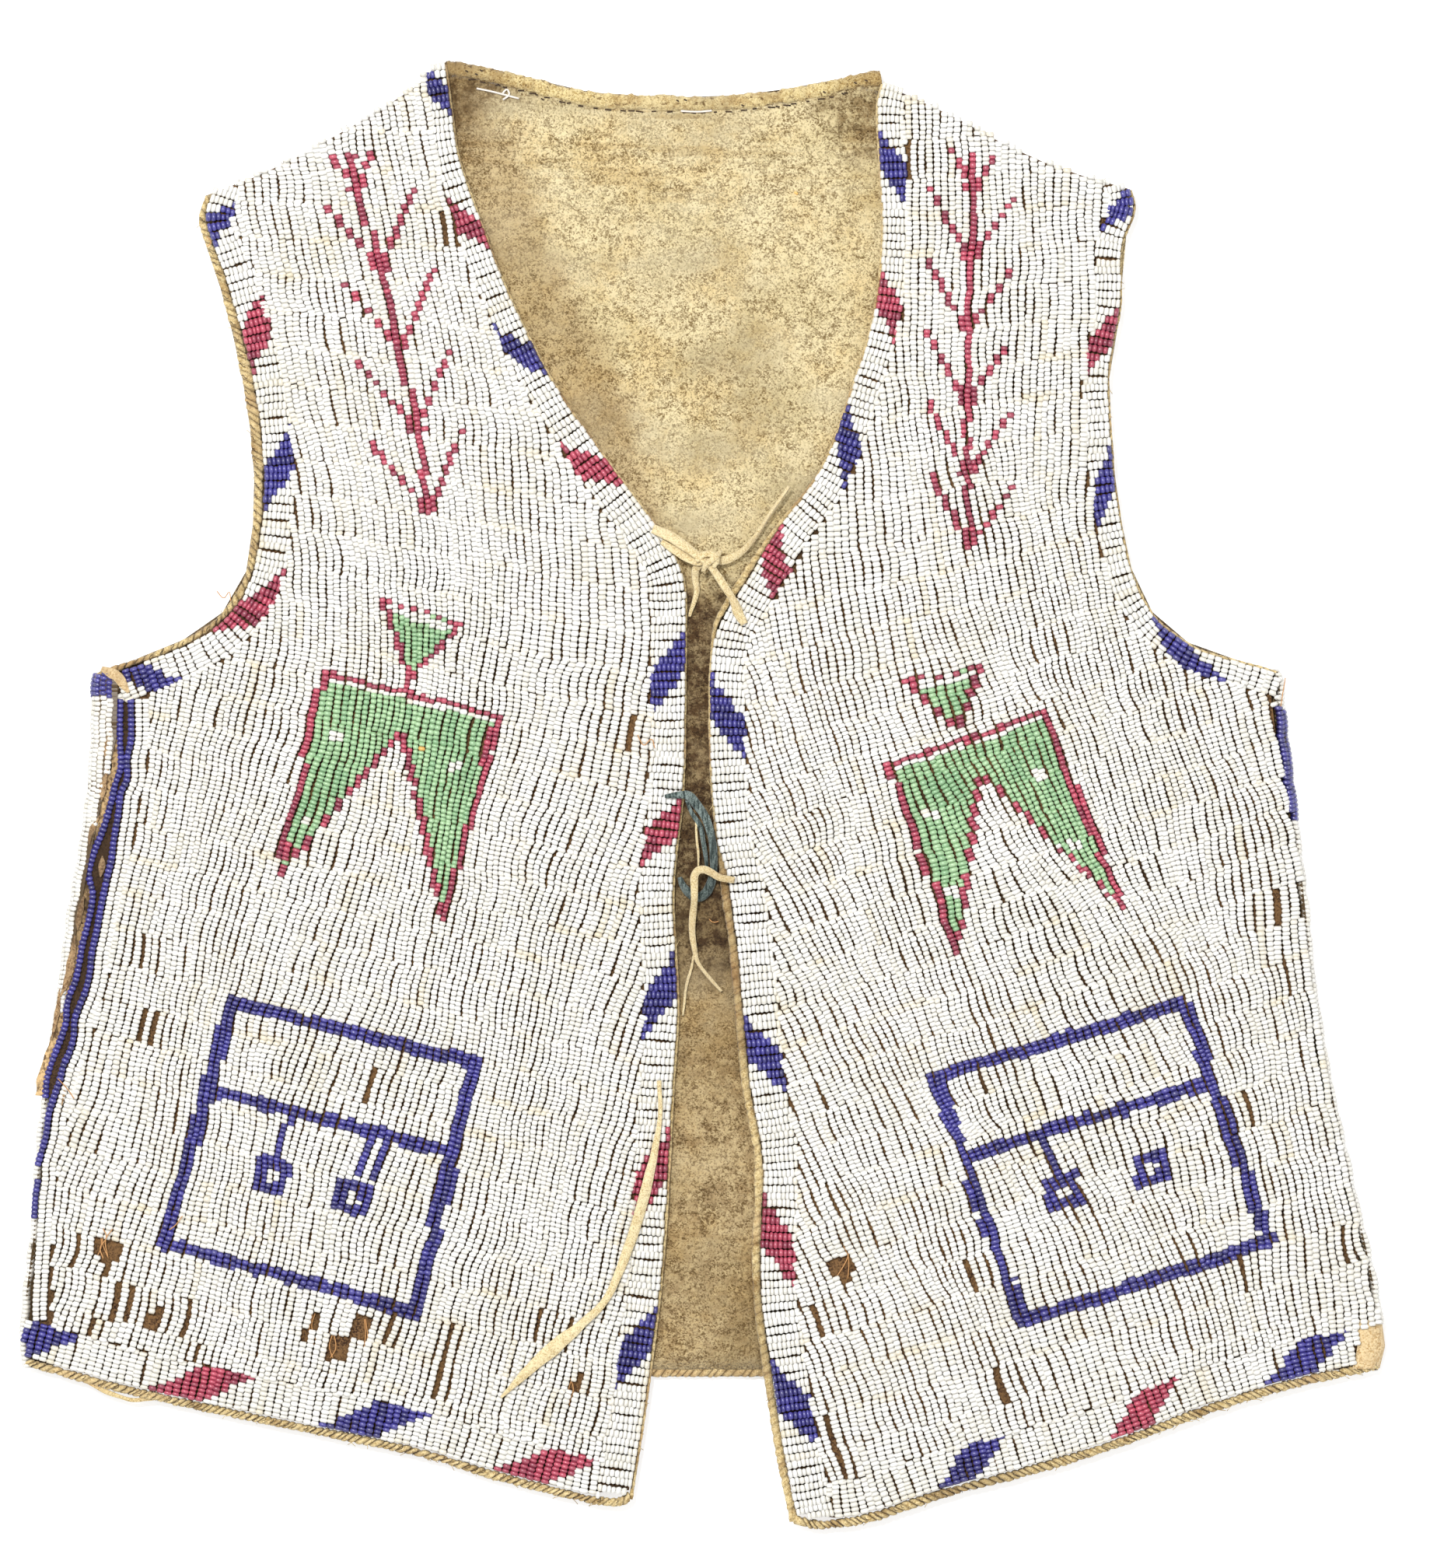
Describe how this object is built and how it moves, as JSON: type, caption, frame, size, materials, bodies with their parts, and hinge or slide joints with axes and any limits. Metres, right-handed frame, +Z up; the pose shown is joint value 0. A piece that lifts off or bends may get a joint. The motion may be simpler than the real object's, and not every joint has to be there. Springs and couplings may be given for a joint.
{
  "type": "beaded vest",
  "caption": "Child's sleeveless hide vest covered in lane-stitched seed beads, laid flat with its fronts closed by thongs; trees, birds and pocket outlines in colour on white.",
  "frame": {"origin": "centre of the bounding box's bottom face, on the surface that the vest lies on", "axes": "+Z up off the surface, +Y towards the neck, +X towards the wearer's left"},
  "size_m": [0.3494, 0.3779, 0.0109],
  "materials": {
    "hide": "brain-tanned hide, napped inside face, buff with brown soiling",
    "binding": "narrow strips of the same hide, folded over the edge and whip-stitched",
    "beads": "opaque seed beads, mostly white, with blue, rose and green motifs, softly glossy",
    "thong": "pale buckskin thong, dry and a little fuzzy",
    "grey_thong": "grey-green dyed thong, worn"
  },
  "bodies": {
    "root": {"back_hide": "hide", "back_beadwork": "beads", "back_neck_binding": "binding", "back_hem_binding": "binding", "right_front_hide": "hide", "right_front_beadwork": "beads", "right_opening_binding": "binding", "right_opening_lane": "beads", "right_armhole_binding": "binding", "right_armhole_lane": "beads", "right_hem_binding": "binding", "left_front_hide": "hide", "left_front_beadwork": "beads", "left_opening_binding": "binding", "left_opening_lane": "beads", "left_armhole_binding": "binding", "left_armhole_lane": "beads", "left_hem_binding": "binding", "upper_tie_right": "thong", "upper_tie_left": "thong", "middle_tie_grey": "grey_thong", "middle_tie_pale": "thong", "lower_thong": "thong"}
  },
  "joints": []
}
